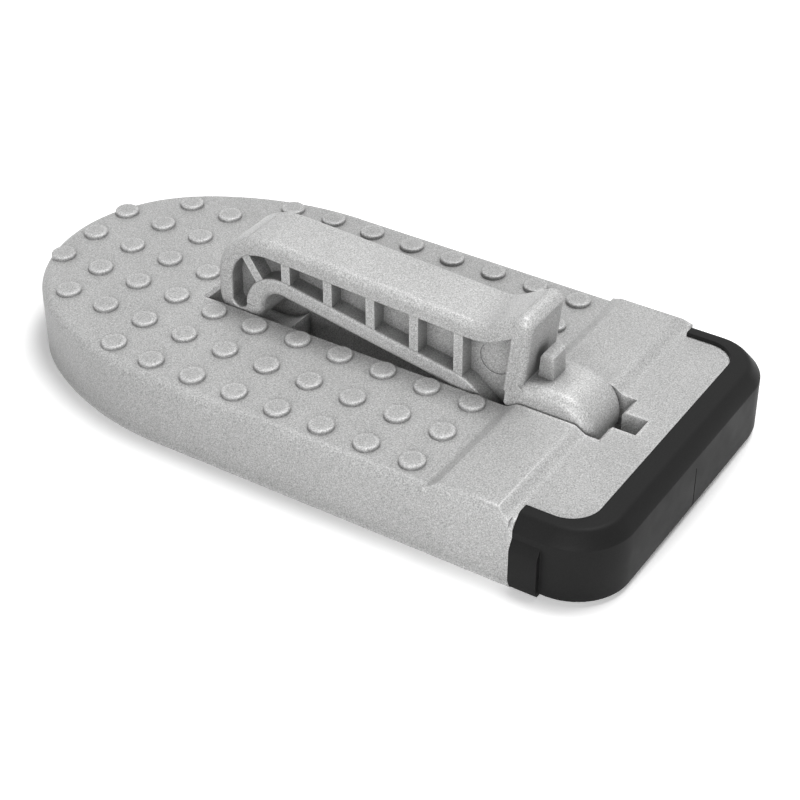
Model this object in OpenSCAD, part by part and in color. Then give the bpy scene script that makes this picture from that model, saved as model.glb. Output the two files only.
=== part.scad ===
// Folding door-latch step: ribbed tread plate, hook arm on a pin, rubber bumper.
// Frame: origin at the bottom centre of the box, +X towards the bumper, +Z up.

/* [Tread plate] */
// overall length with the bumper
total_len = 167.5; // [165:0.5:170]
// plate width
plate_w = 84; // [83:0.5:86]
// radius of the plate's round nose
nose_r = 36; // [35:0.1:37]
// distance from the nose to the start of the straight sides
nose_len = 56; // [54:0.25:58]
// height of the tread surface
plate_h = 17; // [16.8:0.1:17.2]
// radius of the top outer edge
edge_r = 2.3; // [1.5:0.1:2.6]
// thickness of the tread skin
skin_t = 4; // [3.5:0.1:4.2]
// thickness of the outer skirt
skirt_t = 4; // [3.2:0.1:4.5]
// thickness of the underside ribs
rib_t = 2.5; // [2:0.1:3]
// pitch of the cross ribs
rib_pitch = 15; // [13:0.5:16]
// how far the ribs stay above the base plane
rib_lift = 1; // [0.5:0.1:2]
// length of the raised band along X
band_len = 20.3; // [19:0.1:20.8]
// how far the raised band runs past the hinge axis
band_past = 8.7; // [8:0.05:9]
// height of the raised band above the tread
band_h = 1.6; // [1.4:0.1:1.8]
// length of the soft slopes before and after the band
band_slope = 3.8; // [3:0.1:4.4]

/* [Tread studs] */
// stud base diameter
stud_d = 5.8; // [5:0.1:6.4]
// stud height
stud_h = 1; // [0.6:0.1:1.2]
// radius of the stud's top edge
stud_edge = 0.45; // [0.2:0.05:0.6]
// stud pitch along X
stud_px = 11.37; // [11:0.05:11.5]
// stud pitch along Y
stud_py = 12; // [11.7:0.1:12.1]

/* [Slot] */
// length of the slot
slot_len = 102.4; // [102:0.05:103.5]
// how far the slot runs past the hinge axis
slot_past = 10.8; // [10.5:0.05:11.4]
// half width of the slot
slot_half = 8.5; // [8.4:0.05:8.8]
// thickness of the slot walls
wall_t = 3; // [2.5:0.1:3.4]
// width of the chamfer on the slot's ends
slot_rim = 0.8; // [0.5:0.1:1]
// half width of the peg notch
notch_half = 3; // [3:0.05:3.3]
// length of the peg notch beyond the slot
notch_len = 6.2; // [6.2:0.1:6.6]
// depth of the peg notch
notch_deep = 6; // [5:0.1:7]
// top of the cradle floor under the hook tip
cradle_z = 9.5; // [9:0.1:10]
// length of the cradle floor
cradle_len = 17.5; // [16:0.1:18]
// thickness of the cradle floor at its thick edge
cradle_t = 6; // [5.5:0.1:6.5]
// radius of the scoop in the cradle floor
scoop_r = 12.5; // [12.2:0.1:12.8]

/* [Hinge] */
// distance from the hinge axis to the bumper's front
hinge_back = 30.2; // [30:0.05:30.4]
// hinge axis height
hinge_z = 14; // [13.9:0.05:14.1]
// pin radius
pin_r = 3; // [2.8:0.05:3.1]
// radial running clearance of the arm on the pin
run_clear = 0.05; // [0.03:0.01:0.09]
// radial seat clearance of the pin in the plate
seat_clear = 0.02; // [0.01:0.01:0.04]
// half length of the pin
pin_half = 15; // [14.5:0.1:15.5]
// half length of each boss along X
boss_half = 12; // [11.7:0.1:12.3]
// thickness of the end wall past the pin
boss_wall = 2.4; // [2:0.1:3]
// thickness of a pin cap
cap_t = 2; // [1.5:0.1:2.5]
// distance of the cap screws from the axis
screw_dx = 8; // [7.5:0.1:8.5]
// screw shank radius
screw_r = 1.5; // [1.2:0.05:1.6]
// clearance round the screw shank
screw_clear = 0.05; // [0.03:0.01:0.1]
// screw length into the boss
screw_in = 3.5; // [3:0.1:3.8]
// screw head radius
head_r = 2.8; // [2.4:0.1:3]
// screw head height
head_h = 1.8; // [1.4:0.1:2.2]

/* [Hook arm] */
// arm width
arm_w = 15.4; // [15:0.1:15.6]
// flange thickness
flange_t = 4.4; // [4.2:0.05:4.6]
// thickness of the web between the flanges
web_t = 7; // [6:0.1:8]
// radius of the flanges' outer edges
arm_edge = 1.8; // [1.4:0.1:1.9]
// radius of the flanges' inner edges
arm_edge_in = 0.6; // [0.3:0.1:0.8]
// thickness of the ribs between the flanges
arm_rib_t = 2.3; // [2:0.1:2.5]
// pitch of those ribs
arm_rib_pitch = 11.3; // [11:0.1:11.5]
// how far the ribs lie below the flange sides
arm_rib_in = 0.4; // [0.2:0.05:0.6]
// radius of the hook's outer bend
hook_r = 12.7; // [12.5:0.05:12.8]
// radius of the soft bend between hook and top flange
crown_r = 17; // [16.5:0.1:17.5]
// thickness of the hook band
hook_t = 4.2; // [4:0.05:4.3]
// radius of the hook tip
tip_r = 6.15; // [6:0.05:6.25]
// radius of the striker mouth
mouth_r = 5.2; // [5.1:0.05:5.3]
// distance from the axis to the middle of the hook's bend
hook_dx = 75.8; // [75.5:0.05:76]
// height of that middle above the axis
hook_dz = 10; // [9.8:0.05:10.2]
// height of the hook tip's middle above the axis
tip_dz = 5; // [4.9:0.05:5.1]
// slope of the top flange
top_slope = 2.7; // [2.5:0.05:2.9]
// slope of the lower flange
low_slope = 9.6; // [9.4:0.05:9.8]
// radius of the knuckle round the pin
knuckle_r = 9; // [8.8:0.05:9.1]
// edge radius of the knuckle
knuckle_edge = 2.8; // [2:0.1:3]
// radius at the top of the stop lip
lip_r = 2.4; // [2.2:0.05:2.6]
// slope of the stop lip's back
lip_slope = 30; // [28:0.5:32]
// width of the peg
peg_w = 5.2; // [4.6:0.1:5.2]
// height of the peg's top above the axis
peg_top = 15.2; // [14.8:0.1:15.2]

/* [Bumper] */
// inner half width of the bumper
bump_in = 36.6; // [36.4:0.1:37]
// bumper arm length along X
bump_arm = 20.55; // [20.3:0.05:20.8]
// thickness of the bumper's front
bump_front = 7.3; // [7:0.1:7.6]
// outer corner radius
bump_r = 13; // [12.8:0.1:13.4]
// inner corner radius
bump_r_in = 7; // [6.8:0.1:7.2]
// height of the bumper's top
bump_top = 18; // [17.8:0.1:18]
// height of the bumper's lower edge
bump_low = 0.8; // [0.8:0.1:1.2]
// inward width of the top chamfer
bump_ch = 2.8; // [2.5:0.1:3]
// drop of the top chamfer
bump_drop = 3.4; // [3:0.1:3.6]
// how far the end pads stand proud
pad_out = 1.3; // [1:0.1:1.4]
// length of the end pads
pad_len = 6.5; // [6:0.1:7]
// width of the plate's tongue ridge
tongue_out = 2; // [1.6:0.1:2.2]

/* [Hidden] */
$fn = 96;
half_w = plate_w / 2;
x_min = -total_len / 2;
x_max = total_len / 2;
nose_x = x_min + nose_r;
side_x = x_min + nose_len;
side_r = (pow(side_x - nose_x, 2) + pow(half_w, 2) - pow(nose_r, 2)) / (2 * (half_w - nose_r));
side_a = atan2(side_r - half_w, side_x - nose_x);
arm_x0 = x_max - bump_arm;
end_x = x_max - bump_front;
hinge_x = x_max - hinge_back;
slot_x1 = hinge_x + slot_past;
slot_x0 = slot_x1 - slot_len;
band_x1 = hinge_x + band_past;
band_x0 = band_x1 - band_len;
skin_z = plate_h - skin_t;
band_z = plate_h + band_h;
boss_z = hinge_z - pin_r;
boss_y = pin_half + boss_wall;
screw_y = (slot_half + boss_y) / 2;
block_x = slot_x1 + notch_len + 3;
block_z = plate_h - notch_deep - 2.5;
tip_x = hinge_x - hook_dx - hook_r + tip_r;
tip_z = hinge_z + tip_dz;
hook_x = hinge_x - hook_dx;
hook_z = hinge_z + hook_dz;
mouth_a = -4;
mouth_x = tip_x + (tip_r + mouth_r) * cos(mouth_a);
mouth_z = tip_z + (tip_r + mouth_r) * sin(mouth_a);
crown_a = 110;
crown_x = hook_x + (hook_r - crown_r) * cos(crown_a);
crown_z = hook_z + (hook_r - crown_r) * sin(crown_a);
top_x0 = crown_x + crown_r * sin(top_slope);
top_z0 = crown_z + crown_r * cos(top_slope);
dip_r = 9;
lap = 0.15;
proud = 0.03;
bend_gap = 0.05;
axis_gap = 0.01;
lip_x = hinge_x - 8.9;
wall_a = 6;
top_x1 = hinge_x - 21.2;
top_z1 = top_z0 - (top_x1 - top_x0) * tan(top_slope);
dip_x = top_x1 + dip_r * sin(top_slope);
dip_z = top_z1 + dip_r * cos(top_slope);
rise_x0 = dip_x + dip_r * sin(lip_slope);
rise_z0 = dip_z - dip_r * cos(lip_slope);
rise_len = (lip_x - lip_r * sin(lip_slope) - rise_x0) / cos(lip_slope);
rise_x1 = rise_x0 + rise_len * cos(lip_slope);
rise_z1 = rise_z0 + rise_len * sin(lip_slope);
lip_z = rise_z1 - lip_r * cos(lip_slope);
wall_x1 = lip_x + lip_r * cos(wall_a);
wall_z1 = lip_z - lip_r * sin(wall_a);
knee_z = hinge_z + knuckle_r;
wall_x0 = wall_x1 - (wall_z1 - knee_z) * tan(wall_a);
low_x0 = mouth_x + mouth_r * sin(low_slope);
low_z0 = mouth_z + mouth_r * cos(low_slope);
low_x1 = hinge_x - 25.4;
low_z1 = low_z0 - (low_x1 - low_x0) * tan(low_slope);
dive_a = 40;
dive_r = 6;
dive_cx = low_x1 - dive_r * sin(low_slope);
dive_cz = low_z1 - dive_r * cos(low_slope);
dive_x0 = dive_cx + dive_r * sin(dive_a);
dive_z0 = dive_cz + dive_r * cos(dive_a);
sole_a = 6;
sole_r = 8;
sole_x1 = hinge_x - knuckle_r * sin(sole_a);
sole_z1 = hinge_z - knuckle_r * cos(sole_a);
bend_dx = sole_r * (sin(dive_a) - sin(sole_a));
bend_dz = sole_r * (cos(dive_a) - cos(sole_a));
dive_len = -((sole_x1 - dive_x0 - bend_dx) * sin(sole_a)
    + (sole_z1 - dive_z0 - bend_dz) * cos(sole_a)) / sin(dive_a - sole_a);
dive_x1 = dive_x0 + dive_len * cos(dive_a);
dive_z1 = dive_z0 - dive_len * sin(dive_a);
bend_cx = dive_x1 + sole_r * sin(dive_a);
bend_cz = dive_z1 + sole_r * cos(dive_a);
sole_x0 = bend_cx - sole_r * sin(sole_a);
sole_z0 = bend_cz - sole_r * cos(sole_a);

// Side profile of the plate, extruded across it
module y_prism(y0, y1) {
    translate([0, y1, 0]) rotate([90, 0, 0]) linear_extrude(height = y1 - y0) children();
}

// Half outline (radius, height) of the plate's edge with its rounded top
module edge_profile(r, h) {
    union() {
        square([r - edge_r, h]);
        square([r, h - edge_r]);
        translate([r - edge_r, h - edge_r]) circle(r = edge_r);
    }
}

// Cross-section of the straight part of the plate, extruded along X
module straight_block(x0, x1, h) {
    translate([x0, 0, 0]) rotate([90, 0, 90]) linear_extrude(height = x1 - x0) union() {
        edge_profile(half_w, h);
        mirror([1, 0]) edge_profile(half_w, h);
    }
}

module rounded_end(half, x1, r, z0, z1) {
    translate([0, 0, z0]) linear_extrude(height = z1 - z0) union() {
        translate([arm_x0 - 1, -half]) square([x1 - r - arm_x0 + 1, 2 * half]);
        translate([arm_x0 - 1, -half + r]) square([x1 - arm_x0 + 1, 2 * (half - r)]);
        translate([x1 - r, half - r]) circle(r = r);
        translate([x1 - r, r - half]) circle(r = r);
    }
}

// Height of the band's slope at the share t of its length
function soft_rise(t) = plate_h + band_h * (1 - cos(180 * t)) / 2;

module plate_outer() {
    union() {
        translate([nose_x, 0, 0]) rotate_extrude() edge_profile(nose_r, plate_h);
        for (s = [0, 1]) mirror([0, s, 0]) translate([side_x, half_w - side_r, 0]) rotate([0, 0, 90])
            rotate_extrude(angle = 90 - side_a) edge_profile(side_r + proud, plate_h + proud);
        straight_block(side_x - lap, arm_x0, plate_h);
        intersection() {
            straight_block(band_x0 - 1, arm_x0, band_z);
            y_prism(-half_w, half_w) polygon(concat(
                [[band_x0, plate_h - edge_r - 1]],
                [for (i = [0 : 8]) [band_x0 + band_slope * i / 8, soft_rise(i / 8)]],
                [for (i = [0 : 8]) [band_x1 - band_slope * (1 - i / 8), soft_rise(1 - i / 8)]],
                [[band_x1, plate_h - edge_r - 1]]));
        }
        rounded_end(bump_in, end_x, bump_r_in, 0, plate_h);
        rounded_end(bump_in + tongue_out, end_x + tongue_out, bump_r_in + tongue_out, 6, 9);
    }
}

// The whole hollow of the underside before ribs and bosses are kept
module hollow() {
    translate([0, 0, -1]) linear_extrude(height = skin_z + 1) union() {
        translate([nose_x, 0]) circle(r = nose_r - skirt_t);
        intersection() {
            translate([side_x, half_w - side_r]) circle(r = side_r - skirt_t);
            translate([side_x, side_r - half_w]) circle(r = side_r - skirt_t);
            translate([nose_x, -half_w]) square([side_x - nose_x, plate_w]);
        }
        translate([side_x, skirt_t - half_w]) square([arm_x0 - 5 - side_x, 2 * (half_w - skirt_t)]);
        translate([side_x, skirt_t - bump_in]) square([end_x - skirt_t - side_x, 2 * (bump_in - skirt_t)]);
    }
}

module ribs() {
    union() {
        for (s = [-1, 1]) translate([x_min, s * 25 - rib_t / 2, rib_lift])
            cube([total_len - 8, rib_t, skin_z]);
        translate([x_min, -rib_t / 2, rib_lift]) cube([slot_x0 - x_min, rib_t, skin_z]);
        for (i = [0 : 9]) translate([slot_x0 - 30 + i * rib_pitch, -half_w, rib_lift])
            cube([rib_t, plate_w, skin_z]);
        translate([slot_x0 - wall_t, -slot_half - wall_t, 0])
            cube([slot_x1 - slot_x0 + 2 * wall_t, 2 * (slot_half + wall_t), skin_z + 1]);
        translate([slot_x1, -notch_half - 3.5, block_z])
            cube([block_x - slot_x1, 2 * notch_half + 7, plate_h - block_z - 1]);
        for (s = [-1, 1]) translate([hinge_x - boss_half, s > 0 ? slot_half : -boss_y, boss_z])
            cube([2 * boss_half, boss_y - slot_half, plate_h - boss_z - 1]);
    }
}

module cradle() {
    difference() {
        translate([slot_x0 - 1, -slot_half - 1, cradle_z - cradle_t])
            cube([cradle_len + 1, 2 * slot_half + 2, cradle_t]);
        y_prism(-slot_half - 2, slot_half + 2)
            translate([tip_x, cradle_z + sqrt(pow(scoop_r, 2) - pow(slot_x0 + cradle_len - tip_x, 2))])
                circle(r = scoop_r);
    }
}

module stud(x, y) {
    root = 1;
    translate([x, y, plate_h - root]) rotate_extrude() union() {
        square([stud_d / 2, stud_h + root - stud_edge]);
        square([stud_d / 2 - stud_edge, stud_h + root]);
        translate([stud_d / 2 - stud_edge, stud_h + root - stud_edge]) circle(r = stud_edge, $fn = 24);
    }
}

module studs() {
    first_x = x_min + 6;
    for (s = [-1, 1]) {
        stud(first_x, s * stud_py);
        stud(first_x + stud_px, s * stud_py);
        stud(first_x + stud_px, s * (2 * stud_py - 0.4));
        stud(first_x + 2 * stud_px, s * stud_py);
        stud(first_x + 2 * stud_px, s * 2 * stud_py);
        stud(first_x + 3 * stud_px, s * stud_py);
        stud(first_x + 3 * stud_px, s * 2 * stud_py);
        stud(first_x + 3 * stud_px, s * (3 * stud_py - 1));
        for (i = [4 : 10]) {
            stud(first_x + i * stud_px, s * (stud_py + (i < 6 ? 0.8 : 0)));
            stud(first_x + i * stud_px, s * 2 * stud_py);
            stud(first_x + i * stud_px, s * 3 * stud_py);
        }
    }
    for (i = [0 : 3]) stud(first_x + i * stud_px, 0);
}

module tread_plate() {
    color("silver") union() {
        difference() {
            union() {
                difference() {
                    plate_outer();
                    difference() {
                        hollow();
                        ribs();
                    }
                }
                studs();
            }
            translate([slot_x0, -slot_half, -1]) cube([slot_x1 - slot_x0, 2 * slot_half, band_z + 2]);
            y_prism(-slot_half, slot_half) polygon([
                [slot_x0 - slot_rim, plate_h + 1], [slot_x0 - slot_rim, plate_h],
                [slot_x0 + 1, plate_h - slot_rim - 1], [slot_x0 + 1, plate_h + 1]]);
            y_prism(-slot_half, slot_half) polygon([
                [slot_x1 + slot_rim, plate_h + 1], [slot_x1 + slot_rim, plate_h],
                [slot_x1 - 1, plate_h - slot_rim - 1], [slot_x1 - 1, plate_h + 1]]);
            translate([slot_x1 - 1, -notch_half, plate_h - notch_deep])
                cube([notch_len + 1, 2 * notch_half, notch_deep + 1]);
            y_prism(-pin_half - 0.1, pin_half + 0.1) union() {
                translate([hinge_x, hinge_z]) circle(r = pin_r + seat_clear);
                translate([hinge_x - pin_r - seat_clear, -1])
                    square([2 * (pin_r + seat_clear), hinge_z + 1]);
            }
            for (s = [-1, 1], q = [-1, 1]) {
                translate([hinge_x + s * screw_dx, q * screw_y, -1])
                    cylinder(r = screw_r + screw_clear, h = boss_z + screw_in + 1.3);
                translate([hinge_x + s * screw_dx - head_r - 1.2, q * screw_y - head_r - 1.2, -1])
                    cube([2 * head_r + 2.4, 2 * head_r + 2.4, 1]);
            }
            for (q = [-1, 1]) translate([hinge_x - boss_half, q > 0 ? slot_half : -boss_y, -1])
                cube([2 * boss_half, boss_y - slot_half, boss_z + 1]);
        }
        cradle();
    }
}

module hinge_pin() {
    chamfer = 0.6;
    color("darkgray") translate([hinge_x, 0, hinge_z]) rotate([90, 0, 0]) union() {
        cylinder(r = pin_r, h = 2 * (pin_half - chamfer), center = true);
        for (s = [-1, 1]) rotate([s > 0 ? 0 : 180, 0, 0]) translate([0, 0, pin_half - chamfer])
            cylinder(r1 = pin_r, r2 = pin_r - chamfer, h = chamfer);
    }
}

module pin_cap(s) {
    gap = 0.2;
    color("gray") difference() {
        translate([hinge_x - boss_half + gap, s > 0 ? slot_half : gap - boss_y, boss_z - cap_t])
            cube([2 * (boss_half - gap), boss_y - slot_half - gap, cap_t]);
        for (q = [-1, 1]) translate([hinge_x + q * screw_dx, s * screw_y, boss_z - cap_t - 1])
            cylinder(r = screw_r + screw_clear, h = cap_t + 2);
    }
}

module pin_cap_near() {
    pin_cap(-1);
}

module pin_cap_far() {
    pin_cap(1);
}

module cap_screw(q, s) {
    slot_w = 0.9;
    z0 = boss_z - cap_t;
    color("dimgray") translate([hinge_x + q * screw_dx, s * screw_y, z0]) difference() {
        union() {
            cylinder(r = screw_r, h = cap_t + screw_in);
            translate([0, 0, -head_h + 0.5]) cylinder(r = head_r, h = head_h - 0.5);
            translate([0, 0, -head_h]) cylinder(r1 = head_r - 0.5, r2 = head_r, h = 0.5);
        }
        for (a = [0, 90]) rotate([0, 0, a]) translate([-head_r * 0.65, -slot_w / 2, -head_h - 1])
            cube([head_r * 1.3, slot_w, 1 + head_h * 0.6]);
    }
}

module cap_screw_1() {
    cap_screw(-1, -1);
}

module cap_screw_2() {
    cap_screw(1, -1);
}

module cap_screw_3() {
    cap_screw(-1, 1);
}

module cap_screw_4() {
    cap_screw(1, 1);
}

// Section of a flange: outer face at 0, inner face at -t, edges rounded by ro and ri, g all round
module flange_section(t, ro, ri, g) {
    h = arm_w / 2;
    union() {
        translate([ri - t, -h - g]) square([t - ri - ro, 2 * (h + g)]);
        translate([-t - g, ri - h]) square([ri + g, 2 * (h - ri)]);
        translate([-ro, ro - h]) square([ro + g, 2 * (h - ro)]);
        for (s = [-1, 1]) {
            translate([-ro, s * (h - ro)]) circle(r = ro + g, $fn = 32);
            translate([ri - t, s * (h - ri)]) circle(r = ri + g, $fn = 32);
        }
    }
}

// Straight flange from one outer point to the next; the outside is on the right of travel
module flange_line(x0, z0, x1, z1, t, ro) {
    len = sqrt(pow(x1 - x0, 2) + pow(z1 - z0, 2));
    translate([x0, 0, z0]) rotate([0, atan2(x1 - x0, z1 - z0), 0]) translate([0, 0, -lap])
        linear_extrude(height = len + 2 * lap) flange_section(t, ro, arm_edge_in, proud);
}

// Turn about a bend's middle; angles run from +X towards +Z, and each end stays short for its lap
module swept(cx, cz, r, a0, a1) {
    short = bend_gap / r * 180 / PI;
    translate([cx, 0, cz]) rotate([90, 0, 0]) rotate([0, 0, a0 + short])
        rotate_extrude(angle = a1 - a0 - 2 * short) children();
}

module flange_bend(cx, cz, r, a0, a1, t, ro) {
    swept(cx, cz, r, a0, a1) translate([r, 0]) flange_section(t, ro, arm_edge_in, 0);
}

// Bent flange whose outside faces the middle of the bend
module flange_hollow(cx, cz, r, a0, a1, t, ro) {
    swept(cx, cz, r, a0, a1) translate([r, 0]) mirror([1, 0])
        flange_section(t, ro, arm_edge_in, 0);
}

// Half section of a disc with a rounded rim
module rim_section(r, ro) {
    h = arm_w / 2;
    intersection() {
        union() {
            translate([0, -h]) square([r - ro, 2 * h]);
            translate([0, ro - h]) square([r, 2 * (h - ro)]);
            for (s = [-1, 1]) translate([r - ro, s * (h - ro)]) circle(r = ro, $fn = 32);
        }
        translate([axis_gap, -h]) square([r, 2 * h]);
    }
}

module arm_flanges() {
    union() {
        flange_line(wall_x0 - 3 * tan(wall_a), knee_z - 3, wall_x1, wall_z1, flange_t, arm_edge);
        swept(lip_x, lip_z, lip_r, -wall_a, 90 + lip_slope) rim_section(lip_r, arm_edge);
        flange_line(rise_x1, rise_z1, rise_x0, rise_z0, flange_t, arm_edge);
        flange_hollow(dip_x, dip_z, dip_r, -90 - top_slope, lip_slope - 90, flange_t, arm_edge);
        flange_line(top_x1, top_z1, top_x0, top_z0, flange_t, arm_edge);
        flange_bend(crown_x, crown_z, crown_r, 90 - top_slope, crown_a, flange_t, arm_edge);
        flange_line(hook_x + hook_r * cos(crown_a - 1), hook_z + hook_r * sin(crown_a - 1),
            hook_x + hook_r * cos(crown_a + 1), hook_z + hook_r * sin(crown_a + 1), hook_t, arm_edge);
        flange_bend(hook_x, hook_z, hook_r, crown_a, 180, hook_t, arm_edge);
        flange_line(hook_x - hook_r, hook_z, tip_x - tip_r, tip_z, hook_t, arm_edge);
        flange_bend(tip_x, tip_z, tip_r, 180, 360 + mouth_a, hook_t, arm_edge);
        flange_line(tip_x + tip_r * cos(mouth_a), tip_z + tip_r * sin(mouth_a) - 0.02,
            tip_x + tip_r * cos(mouth_a), tip_z + tip_r * sin(mouth_a) + 0.02, hook_t, arm_edge);
        flange_hollow(mouth_x, mouth_z, mouth_r, 90 - low_slope, 180 + mouth_a, flange_t, arm_edge);
        flange_line(low_x0, low_z0, low_x1, low_z1, flange_t, arm_edge);
        flange_hollow(dive_cx, dive_cz, dive_r, 90 - dive_a, 90 - low_slope, flange_t, arm_edge);
        flange_line(dive_x0, dive_z0, dive_x1, dive_z1, flange_t, arm_edge);
        flange_bend(bend_cx, bend_cz, sole_r, 270 - dive_a, 270 - sole_a, flange_t, arm_edge);
        flange_line(sole_x0, sole_z0, sole_x1, sole_z1, flange_t, arm_edge);
        translate([hinge_x, 0, hinge_z]) rotate([90, 0, 0]) rotate_extrude()
            rim_section(knuckle_r, knuckle_edge);
        flange_line(hinge_x, knee_z, wall_x0 - 2, knee_z, knuckle_r, knuckle_edge);
    }
}

module arm_web() {
    m = 1.2;
    y_prism(-web_t / 2, web_t / 2) polygon([
        [wall_x0 - m, knee_z], [wall_x1 - m, wall_z1], [lip_x, lip_z], [rise_x0, rise_z0 - m],
        [top_x1, top_z1 - m], [top_x0, top_z0 - m], [crown_x - 5, top_z0 - m - 0.8],
        [hook_x - 6, hook_z + 9.2], [hook_x - 9.8, hook_z + 5], [hook_x - hook_r + m, hook_z],
        [tip_x - tip_r + m, tip_z], [tip_x - 2, tip_z - 4], [tip_x + 2, tip_z - 4],
        [mouth_x - mouth_r - m, mouth_z], [mouth_x - 4.8, mouth_z + 4.8], [mouth_x, mouth_z + mouth_r + m],
        [low_x0, low_z0 + m], [low_x1, low_z1 + m], [dive_x0, dive_z0 + m], [dive_x1, dive_z1 + m],
        [sole_x0, sole_z0 + m], [hinge_x, hinge_z - knuckle_r + 3], [hinge_x, knee_z - 3]]);
}

module arm_ribs() {
    h = arm_w / 2 - arm_rib_in;
    x0 = mouth_x + 1.7;
    y_prism(-h, h) union() {
        for (i = [0 : 4]) {
            x = x0 + i * arm_rib_pitch - arm_rib_t / 2;
            low = low_z0 - (x - low_x0) * tan(low_slope) + flange_t / 2;
            high = top_z0 - (x - top_x0) * tan(top_slope) - flange_t / 2;
            translate([x, low]) square([arm_rib_t, high - low]);
        }
        translate([mouth_x - 5.1, mouth_z + 6.8]) rotate(34) translate([-arm_rib_t / 2, -1.5])
            square([arm_rib_t, 10]);
    }
}

// Solid piece that joins the stop wall to the knuckle and the sole
module arm_block() {
    h = arm_w / 2 - 0.02;
    y_prism(-h, h) polygon([
        [hinge_x - 12, hinge_z + 6.5], [hinge_x - 12.3, hinge_z + 3.2], [hinge_x - 9, hinge_z - 1],
        [hinge_x - 6.3, hinge_z - 1], [hinge_x - 6.3, knee_z - 3.2], [hinge_x - 9.3, knee_z]]);
}

module arm_peg() {
    x0 = hinge_x - 7.2;
    z1 = hinge_z + peg_top;
    y_prism(-peg_w / 2, peg_w / 2) polygon([
        [x0, knee_z - 4], [x0 + 4.2, knee_z - 4], [x0 + 3.9, z1 - 0.6], [x0 + 3.4, z1],
        [x0 + 1.3, z1], [x0 + 0.7, z1 - 1]]);
}

module hook_arm() {
    mark_r = 4;
    color("lightgray") difference() {
        union() {
            arm_flanges();
            arm_web();
            arm_ribs();
            arm_block();
            arm_peg();
        }
        translate([hinge_x, 0, hinge_z]) rotate([90, 0, 0])
            cylinder(r = pin_r + run_clear, h = arm_w + 2, center = true);
        translate([hinge_x - 16.8, -web_t / 2 - 1, hinge_z + 10.4]) rotate([90, 0, 0])
            translate([0, 0, -1.3]) cylinder(r = mark_r, h = 1.3);
    }
}

// Section of the bumper: 0 is the outer face, inward is negative
module bumper_section(depth) {
    polygon([[-depth, bump_low], [-1.2, bump_low], [-0.3, bump_low + 0.4], [0, bump_low + 1.4],
        [0, bump_top - bump_drop], [-0.25, bump_top - bump_drop + 0.5], [-bump_ch + 0.5, bump_top - 0.45],
        [-bump_ch, bump_top - 0.1], [-bump_ch - 0.5, bump_top], [-depth, bump_top]]);
}

module bumper_shell() {
    cx = x_max - bump_r;
    cy = half_w - bump_r;
    union() {
        for (s = [0, 1]) mirror([0, s, 0]) {
            translate([cx, cy, 0]) rotate_extrude(angle = 90)
                translate([bump_r, 0]) bumper_section(bump_r - axis_gap);
            translate([arm_x0, half_w, 0]) rotate([90, 0, 90]) linear_extrude(height = cx - arm_x0)
                bumper_section(bump_r - axis_gap);
        }
        translate([x_max, cy, 0]) rotate([90, 0, 0]) linear_extrude(height = 2 * cy)
            bumper_section(bump_r - axis_gap);
    }
}

module end_pad() {
    translate([arm_x0, half_w, 0]) rotate([90, 0, 90]) linear_extrude(height = pad_len)
        polygon([[-4, bump_low], [0.5, bump_low], [pad_out, bump_low + 2], [pad_out, 10.6],
            [pad_out - 0.2, 11.1], [-bump_ch + 0.2, bump_top - 0.3], [-4, bump_top - 0.3]]);
}

module bumper() {
    seam = 0.3;
    color("black") difference() {
        union() {
            bumper_shell();
            for (s = [0, 1]) mirror([0, s, 0]) end_pad();
        }
        rounded_end(bump_in, end_x, bump_r_in, -1, bump_top + 1);
        rounded_end(bump_in + tongue_out, end_x + tongue_out, bump_r_in + tongue_out, 6, 9);
        translate([x_max - seam, -0.15, bump_low - 1]) cube([2, seam, 12]);
    }
}

tread_plate();
hook_arm();
hinge_pin();
bumper();
pin_cap_near();
pin_cap_far();
cap_screw_1();
cap_screw_2();
cap_screw_3();
cap_screw_4();
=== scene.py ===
"""Folding car door step: finishes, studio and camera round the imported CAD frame."""

import logging
import math
from dataclasses import dataclass
from enum import Enum

import bpy
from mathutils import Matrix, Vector


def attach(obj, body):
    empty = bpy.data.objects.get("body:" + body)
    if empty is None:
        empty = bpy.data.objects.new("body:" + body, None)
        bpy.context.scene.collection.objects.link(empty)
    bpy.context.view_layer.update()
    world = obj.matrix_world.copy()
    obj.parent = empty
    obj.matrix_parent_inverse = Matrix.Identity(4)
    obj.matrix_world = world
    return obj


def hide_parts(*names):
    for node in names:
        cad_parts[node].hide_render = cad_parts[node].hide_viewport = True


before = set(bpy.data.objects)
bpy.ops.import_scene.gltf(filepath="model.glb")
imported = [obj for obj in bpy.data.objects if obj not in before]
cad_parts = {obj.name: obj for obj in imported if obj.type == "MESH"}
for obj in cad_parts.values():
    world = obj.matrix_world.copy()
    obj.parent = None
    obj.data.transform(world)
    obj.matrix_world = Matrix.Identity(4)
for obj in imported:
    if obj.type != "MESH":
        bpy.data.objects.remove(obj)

LOG = logging.getLogger("door_step")
MM = 0.001
WHITE = (1.0, 1.0, 1.0)
OPAQUE_WHITE = (1.0, 1.0, 1.0, 1.0)
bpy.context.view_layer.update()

Tree = bpy.types.NodeTree
Node = bpy.types.Node
Socket = bpy.types.NodeSocket
Triple = tuple[float, float, float]


class Body(Enum):
    """The rigid bodies of the step."""

    PLATE = "plate"
    ARM = "arm"


class Slot(Enum):
    """The material slots of the record."""

    PLATE = "cast_plate"
    ARM = "cast_arm"
    PIN = "pin_steel"
    CAP = "cap_steel"
    SCREW = "screw_steel"
    RUBBER = "bumper_rubber"


@dataclass(frozen=True)
class Stops:
    """The two factors between which a ramp rises."""

    low: float
    high: float


NOISE_STOPS = Stops(0.3, 0.7)
# The painted shade in corners and the painted highlight on edges rise between these stops.
PAINTED_SHADE_STOPS = Stops(0.35, 0.95)
PAINTED_HIGHLIGHT_STOPS = Stops(0.6, 0.97)


@dataclass(frozen=True)
class Grain:
    """A noise pattern: its size in metres, how many finer layers it has and their strength."""

    size: float
    detail: float
    rough: float


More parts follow.
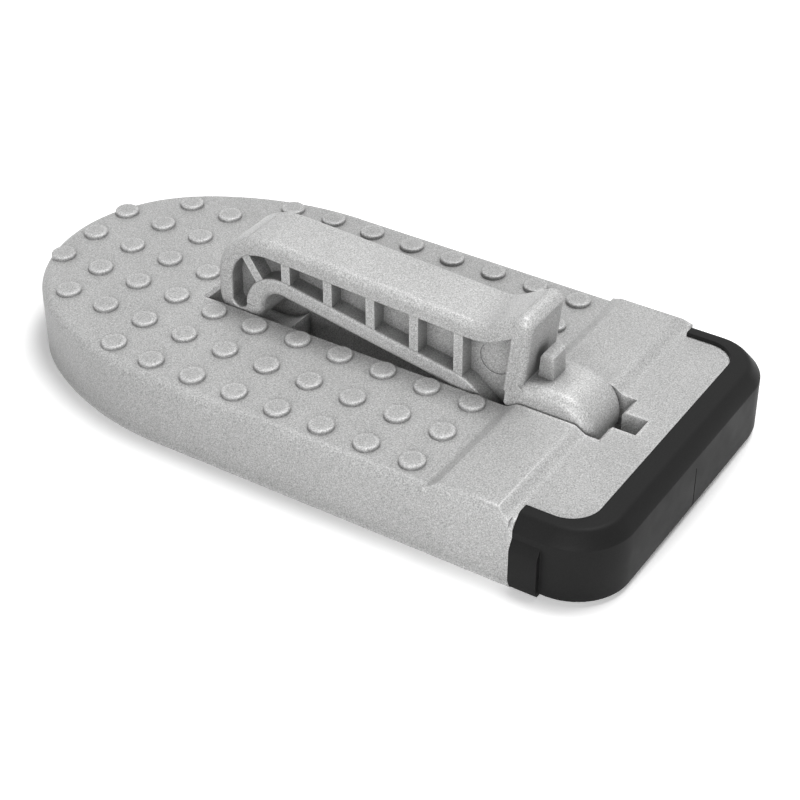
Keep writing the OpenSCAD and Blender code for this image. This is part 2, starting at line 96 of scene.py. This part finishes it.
@dataclass(frozen=True)
class Relief:
    """A bump: its depth in metres and its strength."""

    depth: float
    strength: float


# The noise is turned, because on a flat face along its lattice it looks smooth.
GRAIN_TURN = (0.5, 0.7, 0.3)
OCCLUSION_SAMPLES = 8
BEVEL_SAMPLES = 6


def new_material(name: str) -> tuple[bpy.types.Material, Tree, Node]:
    """Makes a node material with an empty tree but for its shader and output.

    Args:
        name: The material's name.

    Returns:
        The material, its node tree and its Principled shader.
    """
    material = bpy.data.materials.new(name)
    material.use_nodes = True
    tree = material.node_tree
    tree.nodes.clear()
    output = tree.nodes.new("ShaderNodeOutputMaterial")
    shader = tree.nodes.new("ShaderNodeBsdfPrincipled")
    tree.links.new(shader.outputs["BSDF"], output.inputs["Surface"])
    return material, tree, shader


def noise(tree: Tree, grain: Grain) -> Socket:
    """Adds a noise texture on turned object coordinates.

    Args:
        tree: The tree that gets the nodes.
        grain: The pattern.

    Returns:
        The noise factor's socket.
    """
    coord = tree.nodes.new("ShaderNodeTexCoord")
    turn = tree.nodes.new("ShaderNodeMapping")
    turn.inputs["Rotation"].default_value = GRAIN_TURN
    node = tree.nodes.new("ShaderNodeTexNoise")
    node.inputs["Scale"].default_value = 1.0 / grain.size
    node.inputs["Detail"].default_value = grain.detail
    node.inputs["Roughness"].default_value = grain.rough
    tree.links.new(coord.outputs["Object"], turn.inputs["Vector"])
    tree.links.new(turn.outputs["Vector"], node.inputs["Vector"])
    return node.outputs["Fac"]


def ramp(tree: Tree, source: Socket, stops: Stops, start: float, end: float) -> Socket:
    """Maps a factor between two stops onto a range of values.

    Args:
        tree: The tree that gets the node.
        source: The factor to map.
        stops: The factors that give the first and the last value.
        start: The value at the low stop.
        end: The value at the high stop.

    Returns:
        The mapped value's socket.
    """
    node = tree.nodes.new("ShaderNodeMapRange")
    node.inputs["From Min"].default_value = stops.low
    node.inputs["From Max"].default_value = stops.high
    node.inputs["To Min"].default_value = start
    node.inputs["To Max"].default_value = end
    tree.links.new(source, node.inputs["Value"])
    return node.outputs["Result"]


def combine(tree: Tree, operation: str, first: Socket, second: Socket) -> Socket:
    """Joins two values by one operation of arithmetic.

    Args:
        tree: The tree that gets the node.
        operation: The name of the Math node's operation.
        first: One value.
        second: The other value.

    Returns:
        The result's socket.
    """
    node = tree.nodes.new("ShaderNodeMath")
    node.operation = operation
    tree.links.new(first, node.inputs[0])
    tree.links.new(second, node.inputs[1])
    return node.outputs["Value"]


def white_to_rays(tree: Tree) -> Socket:
    """Tells the rays that see a background, apart from those that only carry light.

    Args:
        tree: The tree that gets the nodes.

    Returns:
        A value that is one for camera, glossy and transmission rays.
    """
    path = tree.nodes.new("ShaderNodeLightPath")
    value = path.outputs["Is Camera Ray"]
    for ray in ("Is Glossy Ray", "Is Transmission Ray"):
        value = combine(tree, "MAXIMUM", value, path.outputs[ray])
    return value


def occlusion(tree: Tree, reach: float, inside: bool) -> Socket:
    """Measures how far a point of a piece is closed in by the piece itself.

    Args:
        tree: The tree that gets the node.
        reach: How far the rays go, in metres.
        inside: Whether they go into the wall and not out of it.

    Returns:
        A factor that is one where no ray meets the piece.
    """
    node = tree.nodes.new("ShaderNodeAmbientOcclusion")
    node.samples = OCCLUSION_SAMPLES
    node.only_local = True
    node.inside = inside
    node.inputs["Distance"].default_value = reach
    return node.outputs["AO"]


def grey(tree: Tree, value: Socket, tint: Triple) -> Socket:
    """Turns a value into a colour of one tint.

    Args:
        tree: The tree that gets the nodes.
        value: The brightness.
        tint: The colour at brightness one.

    Returns:
        The colour's socket.
    """
    node = tree.nodes.new("ShaderNodeVectorMath")
    node.operation = "SCALE"
    node.inputs[0].default_value = tint
    tree.links.new(value, node.inputs["Scale"])
    return node.outputs["Vector"]


def bump(tree: Tree, height: Socket, relief: Relief, edge: float) -> Socket:
    """Turns a height into a normal, with soft edges.

    Args:
        tree: The tree that gets the nodes.
        height: The height's socket.
        relief: The relief that the height makes.
        edge: The radius that edges seem to have, in metres.

    Returns:
        The normal's socket.
    """
    node = tree.nodes.new("ShaderNodeBump")
    node.inputs["Distance"].default_value = relief.depth
    node.inputs["Strength"].default_value = relief.strength
    tree.links.new(height, node.inputs["Height"])
    soft = tree.nodes.new("ShaderNodeBevel")
    soft.samples = BEVEL_SAMPLES
    soft.inputs["Radius"].default_value = edge
    tree.links.new(soft.outputs["Normal"], node.inputs["Normal"])
    return node.outputs["Normal"]


@dataclass(frozen=True)
class CastFinish:
    """Shot-blasted die-cast aluminium: a satin grey with a fine speckle.

    Inner corners get painted shade and outer edges a painted highlight.
    """

    name: str
    level: float
    grain: Grain = Grain(0.3 * MM, 2.0, 0.6)
    clouds: Grain = Grain(14.0 * MM, 3.0, 0.55)
    speckle: float = 0.42
    blotch: float = 0.04
    roughness: float = 0.42
    smoother: float = 0.06
    rougher: float = 0.08
    metallic: float = 0.15
    relief: Relief = Relief(0.1 * MM, 0.7)
    edge: float = 0.25 * MM
    # Painted shade: how far it reaches into corners, in metres, and its darkest factor.
    painted_shade_reach: float = 2.0 * MM
    painted_shade_factor: float = 0.36
    # Painted highlight: how far in from outer edges it reaches, in metres, and its lightest
    # factor.
    painted_highlight_reach: float = 1.4 * MM
    painted_highlight_factor: float = 1.28
    tint: Triple = (1.0, 1.0, 0.995)

    def brightness(self, tree: Tree, fine: Socket) -> Socket:
        """Builds the speckled level with painted corner shade and painted edge highlights.

        Args:
            tree: The tree that gets the nodes.
            fine: The fine noise.

        Returns:
            The brightness's socket.
        """
        broad = noise(tree, self.clouds)
        speck = ramp(tree, fine, NOISE_STOPS, 1.0 - self.speckle, 1.0 + self.speckle)
        cloud = ramp(tree, broad, NOISE_STOPS,
                     self.level * (1.0 - self.blotch), self.level * (1.0 + self.blotch))
        # Painted shade: the colour is darker where the piece closes in on itself.
        dull = ramp(tree, occlusion(tree, self.painted_shade_reach, False), PAINTED_SHADE_STOPS, self.painted_shade_factor, 1.0)
        # Painted highlight: the colour is lighter at outer edges.
        light = ramp(tree, occlusion(tree, self.painted_highlight_reach, True), PAINTED_HIGHLIGHT_STOPS, self.painted_highlight_factor, 1.0)
        level = combine(tree, "MULTIPLY", speck, cloud)
        level = combine(tree, "MULTIPLY", level, dull)
        return combine(tree, "MULTIPLY", level, light)

    def material(self) -> bpy.types.Material:
        """Builds the finish.

        Returns:
            The material.
        """
        material, tree, shader = new_material(self.name)
        fine = noise(tree, self.grain)
        colour = grey(tree, self.brightness(tree, fine), self.tint)
        roughness = ramp(tree, fine, NOISE_STOPS,
                         self.roughness - self.smoother, self.roughness + self.rougher)
        tree.links.new(colour, shader.inputs["Base Color"])
        tree.links.new(roughness, shader.inputs["Roughness"])
        tree.links.new(bump(tree, fine, self.relief, self.edge), shader.inputs["Normal"])
        shader.inputs["Metallic"].default_value = self.metallic
        return material


@dataclass(frozen=True)
class RubberFinish:
    """Matte black moulded rubber with a fine even grain."""

    name: str
    level: float = 0.015
    grain: Grain = Grain(0.3 * MM, 2.0, 0.5)
    clouds: Grain = Grain(9.0 * MM, 2.0, 0.5)
    speckle: float = 0.1
    blotch: float = 0.08
    roughness: float = 0.52
    unevenness: float = 0.05
    sheen: float = 0.09
    relief: Relief = Relief(0.02 * MM, 0.4)
    edge: float = 0.35 * MM

    def material(self) -> bpy.types.Material:
        """Builds the finish.

        Returns:
            The material.
        """
        material, tree, shader = new_material(self.name)
        fine = noise(tree, self.grain)
        broad = noise(tree, self.clouds)
        speck = ramp(tree, fine, NOISE_STOPS, 1.0 - self.speckle, 1.0 + self.speckle)
        cloud = ramp(tree, broad, NOISE_STOPS,
                     self.level * (1.0 - self.blotch), self.level * (1.0 + self.blotch))
        colour = grey(tree, combine(tree, "MULTIPLY", speck, cloud), WHITE)
        roughness = ramp(tree, broad, NOISE_STOPS,
                         self.roughness - self.unevenness, self.roughness + self.unevenness)
        tree.links.new(colour, shader.inputs["Base Color"])
        tree.links.new(roughness, shader.inputs["Roughness"])
        tree.links.new(bump(tree, fine, self.relief, self.edge), shader.inputs["Normal"])
        shader.inputs["Specular IOR Level"].default_value = self.sheen
        return material


@dataclass(frozen=True)
class SteelFinish:
    """Machined or plated steel with a faint mottle."""

    name: str
    level: float
    roughness: float
    mottle: Grain = Grain(2.5 * MM, 3.0, 0.6)
    darker: float = 0.07
    lighter: float = 0.05
    smoother: float = 0.04
    rougher: float = 0.06
    tint: Triple = (1.0, 1.0, 1.01)

    def material(self) -> bpy.types.Material:
        """Builds the finish.

        Returns:
            The material.
        """
        material, tree, shader = new_material(self.name)
        broad = noise(tree, self.mottle)
        cloud = ramp(tree, broad, NOISE_STOPS,
                     self.level * (1.0 - self.darker), self.level * (1.0 + self.lighter))
        roughness = ramp(tree, broad, NOISE_STOPS,
                         self.roughness - self.smoother, self.roughness + self.rougher)
        tree.links.new(grey(tree, cloud, self.tint), shader.inputs["Base Color"])
        tree.links.new(roughness, shader.inputs["Roughness"])
        shader.inputs["Metallic"].default_value = 1.0
        return material


def deselect_all() -> None:
    """Deselects every object, out of edit mode."""
    if bpy.context.object and bpy.context.object.mode != "OBJECT":
        bpy.ops.object.mode_set(mode="OBJECT")
    bpy.ops.object.select_all(action="DESELECT")


def make_active(piece: bpy.types.Object) -> None:
    """Selects one object alone and makes it active."""
    deselect_all()
    piece.select_set(True)
    bpy.context.view_layer.objects.active = piece


@dataclass
class DressedNode:
    """A CAD node's shape, merged and shaded, with its finish.

    An edge turned by less than smooth_angle, in degrees, is shaded smooth. Faces turned by less
    than flat_angle, in degrees, become one face.
    """

    node: str
    body: Body
    slot: Slot
    smooth_angle: float = 30.0
    flat_angle: float = 0.1
    merge_reach: float = 0.002 * MM

    def shape(self) -> bpy.types.Object:
        """Copies the CAD node, merges its loose triangles and shades its curves smooth.

        Returns:
            The new piece.
        """
        make_active(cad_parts[self.node])
        bpy.ops.object.duplicate(linked=False)
        piece = bpy.context.view_layer.objects.active
        piece.name = self.node + "_skin"
        piece.data.name = self.node + "_skin"
        make_active(piece)
        bpy.ops.object.mode_set(mode="EDIT")
        bpy.ops.mesh.select_all(action="SELECT")
        bpy.ops.mesh.customdata_custom_splitnormals_clear()
        bpy.ops.mesh.remove_doubles(threshold=self.merge_reach)
        bpy.ops.mesh.dissolve_limited(angle_limit=math.radians(self.flat_angle))
        bpy.ops.object.mode_set(mode="OBJECT")
        bpy.ops.object.shade_smooth_by_angle(angle=math.radians(self.smooth_angle))
        return piece

    def build(self, material: bpy.types.Material) -> None:
        """Builds the piece with one finish in place of all it has, and sets it on its body.

        Args:
            material: The piece's finish.
        """
        piece = self.shape()
        piece.data.materials.clear()
        piece.data.materials.append(material)
        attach(piece, self.body.value)
        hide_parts(self.node)
        LOG.info("%s: %d faces on %s", piece.name, len(piece.data.polygons), self.body.value)


@dataclass
class TreadPlateAssembly:
    """The cast tread plate with its studs, band, slot and ribbed underside."""

    finish: CastFinish = CastFinish("cast_plate_blasted", level=0.46)

    def build(self) -> None:
        """Builds the plate."""
        DressedNode("tread_plate", Body.PLATE, Slot.PLATE).build(self.finish.material())


@dataclass
class HookArmAssembly:
    """The cast hook arm with its flanges, ribs, lip, knuckle and peg.

    Its pockets are deep, so its painted corner shade reaches further out than the plate's.
    """

    # The arm's painted corner shade reaches further and is darker; its painted edge highlight is
    # weaker.
    finish: CastFinish = CastFinish("cast_arm_blasted", level=0.53, painted_shade_reach=6.0 * MM,
                                    painted_shade_factor=0.3, painted_highlight_factor=1.15)

    def build(self) -> None:
        """Builds the arm."""
        DressedNode("hook_arm", Body.ARM, Slot.ARM).build(self.finish.material())


@dataclass
class BumperAssembly:
    """The black rubber strip round the square end."""

    finish: RubberFinish = RubberFinish("bumper_rubber_black")
    smooth_angle: float = 24.0

    def build(self) -> None:
        """Builds the bumper."""
        strip = DressedNode("bumper", Body.PLATE, Slot.RUBBER, self.smooth_angle)
        strip.build(self.finish.material())


@dataclass
class HingeHardware:
    """The pin under the band, its two caps and their screws."""

    pin: SteelFinish = SteelFinish("pin_ground", level=0.55, roughness=0.28)
    cap: SteelFinish = SteelFinish("cap_zinc", level=0.5, roughness=0.38)
    screw: SteelFinish = SteelFinish("screw_zinc", level=0.42, roughness=0.36)
    screw_count: int = 4

    def build(self) -> None:
        """Builds the pin, the caps and the screws."""
        DressedNode("hinge_pin", Body.PLATE, Slot.PIN).build(self.pin.material())
        cap_material = self.cap.material()
        for side in ("near", "far"):
            DressedNode("pin_cap_" + side, Body.PLATE, Slot.CAP).build(cap_material)
        screw_material = self.screw.material()
        for number in range(1, self.screw_count + 1):
            DressedNode(f"cap_screw_{number}", Body.PLATE, Slot.SCREW).build(screw_material)


@dataclass(frozen=True)
class Softbox:
    """A square area lamp that faces the step, with its place and side in metres and its watts."""

    name: str
    place: Triple
    side: float
    energy: float

    def build(self) -> None:
        """Hangs the lamp."""
        data = bpy.data.lights.new(self.name, "AREA")
        data.size = self.side
        data.energy = self.energy
        lamp = bpy.data.objects.new(self.name, data)
        bpy.context.scene.collection.objects.link(lamp)
        lamp.location = self.place
        lamp.rotation_euler = (-Vector(self.place)).to_track_quat("-Z", "Y").to_euler()
        LOG.info("lamp %s: %.1f W", self.name, self.energy)


@dataclass
class Floor:
    """The pale floor under the step.

    To the camera it is white, and its glow fades towards the step in an oval, so that the shadow
    shows there. What it throws back on the step dims towards the nose.
    """

    half: float = 3.0
    bounce_grey: float = 0.8
    bounce_dim: float = 0.12
    bounce_along_x: Stops = Stops(-0.08, 0.05)
    oval: float = 2.0
    glow_reach: Stops = Stops(0.075, 0.16)
    glow_near: float = 0.02
    glow_far: float = 0.8

    def dull(self, tree: Tree, shader: Node, place: Socket) -> None:
        """Makes the shader that throws light back on the step.

        Args:
            tree: The tree that gets the nodes.
            shader: The Principled shader.
            place: The floor's coordinates.
        """
        across = tree.nodes.new("ShaderNodeSeparateXYZ")
        tree.links.new(place, across.inputs[0])
        level = ramp(tree, across.outputs["X"], self.bounce_along_x,
                     self.bounce_dim, self.bounce_grey)
        tree.links.new(grey(tree, level, WHITE), shader.inputs["Base Color"])
        shader.inputs["Roughness"].default_value = 1.0
        shader.inputs["Specular IOR Level"].default_value = 0.0

    def seen(self, tree: Tree, place: Socket) -> Socket:
        """Makes the white floor that a background ray sees.

        Args:
            tree: The tree that gets the nodes.
            place: The floor's coordinates.

        Returns:
            The shader's socket.
        """
        matte = tree.nodes.new("ShaderNodeBsdfDiffuse")
        matte.inputs["Color"].default_value = OPAQUE_WHITE
        glow = tree.nodes.new("ShaderNodeEmission")
        glow.inputs["Color"].default_value = OPAQUE_WHITE
        squeeze = tree.nodes.new("ShaderNodeMapping")
        squeeze.inputs["Scale"].default_value = (1.0, self.oval, 1.0)
        reach = tree.nodes.new("ShaderNodeVectorMath")
        reach.operation = "LENGTH"
        both = tree.nodes.new("ShaderNodeAddShader")
        tree.links.new(place, squeeze.inputs["Vector"])
        tree.links.new(squeeze.outputs["Vector"], reach.inputs[0])
        tree.links.new(ramp(tree, reach.outputs["Value"], self.glow_reach,
                            self.glow_near, self.glow_far), glow.inputs["Strength"])
        tree.links.new(matte.outputs["BSDF"], both.inputs[0])
        tree.links.new(glow.outputs["Emission"], both.inputs[1])
        return both.outputs["Shader"]

    def material(self) -> bpy.types.Material:
        """Builds the floor's finish.

        Returns:
            The material.
        """
        material, tree, shader = new_material("floor_white")
        place = tree.nodes.new("ShaderNodeTexCoord").outputs["Object"]
        self.dull(tree, shader, place)
        output = next(node for node in tree.nodes if node.type == "OUTPUT_MATERIAL")
        choice = tree.nodes.new("ShaderNodeMixShader")
        tree.links.new(white_to_rays(tree), choice.inputs["Fac"])
        tree.links.new(shader.outputs["BSDF"], choice.inputs[1])
        tree.links.new(self.seen(tree, place), choice.inputs[2])
        tree.links.new(choice.outputs["Shader"], output.inputs["Surface"])
        return material

    def build(self) -> None:
        """Lays the floor."""
        deselect_all()
        bpy.ops.mesh.primitive_plane_add(size=2 * self.half, location=(0, 0, 0))
        floor = bpy.context.object
        floor.name = "floor"
        floor.data.materials.append(self.material())


@dataclass
class Studio:
    """The floor, a plain white world and two soft lamps: one overhead, one low in front."""

    floor: Floor
    key: Softbox = Softbox("key", (0.12, 0.33, 1.30), side=0.65, energy=14.5)
    fill: Softbox = Softbox("fill", (0.38, -1.24, 0.4), side=0.7, energy=11.5)
    world_level: float = 0.05

    def world(self) -> None:
        """Sets the world, full white to the camera and dim as a light."""
        world = bpy.data.worlds.new("studio")
        bpy.context.scene.world = world
        world.use_nodes = True
        tree = world.node_tree
        tree.nodes.clear()
        output = tree.nodes.new("ShaderNodeOutputWorld")
        mix = tree.nodes.new("ShaderNodeMixShader")
        tree.links.new(white_to_rays(tree), mix.inputs["Fac"])
        for number, strength in enumerate((self.world_level, 1.0), start=1):
            light = tree.nodes.new("ShaderNodeBackground")
            light.inputs["Color"].default_value = OPAQUE_WHITE
            light.inputs["Strength"].default_value = strength
            tree.links.new(light.outputs["Background"], mix.inputs[number])
        tree.links.new(mix.outputs["Shader"], output.inputs["Surface"])

    def build(self) -> None:
        """Builds the floor, the world and the lamps."""
        self.floor.build()
        self.world()
        self.key.build()
        self.fill.build()


@dataclass
class PhotoCamera:
    """The camera at the photograph's angle, in metres, with its lens and sensor in millimetres."""

    place: Triple = (0.20781, -0.31049, 0.26567)
    forward: Triple = (-0.4362, 0.6847, -0.5838)
    lens: float = 89.05
    sensor: float = 36.0
    nearest: float = 0.01
    farthest: float = 20.0

    def build(self) -> None:
        """Adds the camera and makes it the scene's own."""
        data = bpy.data.cameras.new("photo_camera")
        data.sensor_fit = "HORIZONTAL"
        data.sensor_width = self.sensor
        data.lens = self.lens
        data.clip_start = self.nearest
        data.clip_end = self.farthest
        camera = bpy.data.objects.new("photo_camera", data)
        bpy.context.scene.collection.objects.link(camera)
        camera.location = self.place
        camera.rotation_euler = Vector(self.forward).to_track_quat("-Z", "Y").to_euler()
        bpy.context.scene.camera = camera


def main() -> None:
    """Builds the step, the studio and the camera."""
    logging.basicConfig(level=logging.INFO, format="%(name)s %(message)s")
    bpy.context.scene.view_settings.view_transform = "Standard"
    TreadPlateAssembly().build()
    HookArmAssembly().build()
    BumperAssembly().build()
    HingeHardware().build()
    Studio(Floor()).build()
    PhotoCamera().build()


if __name__ == "__main__":
    main()
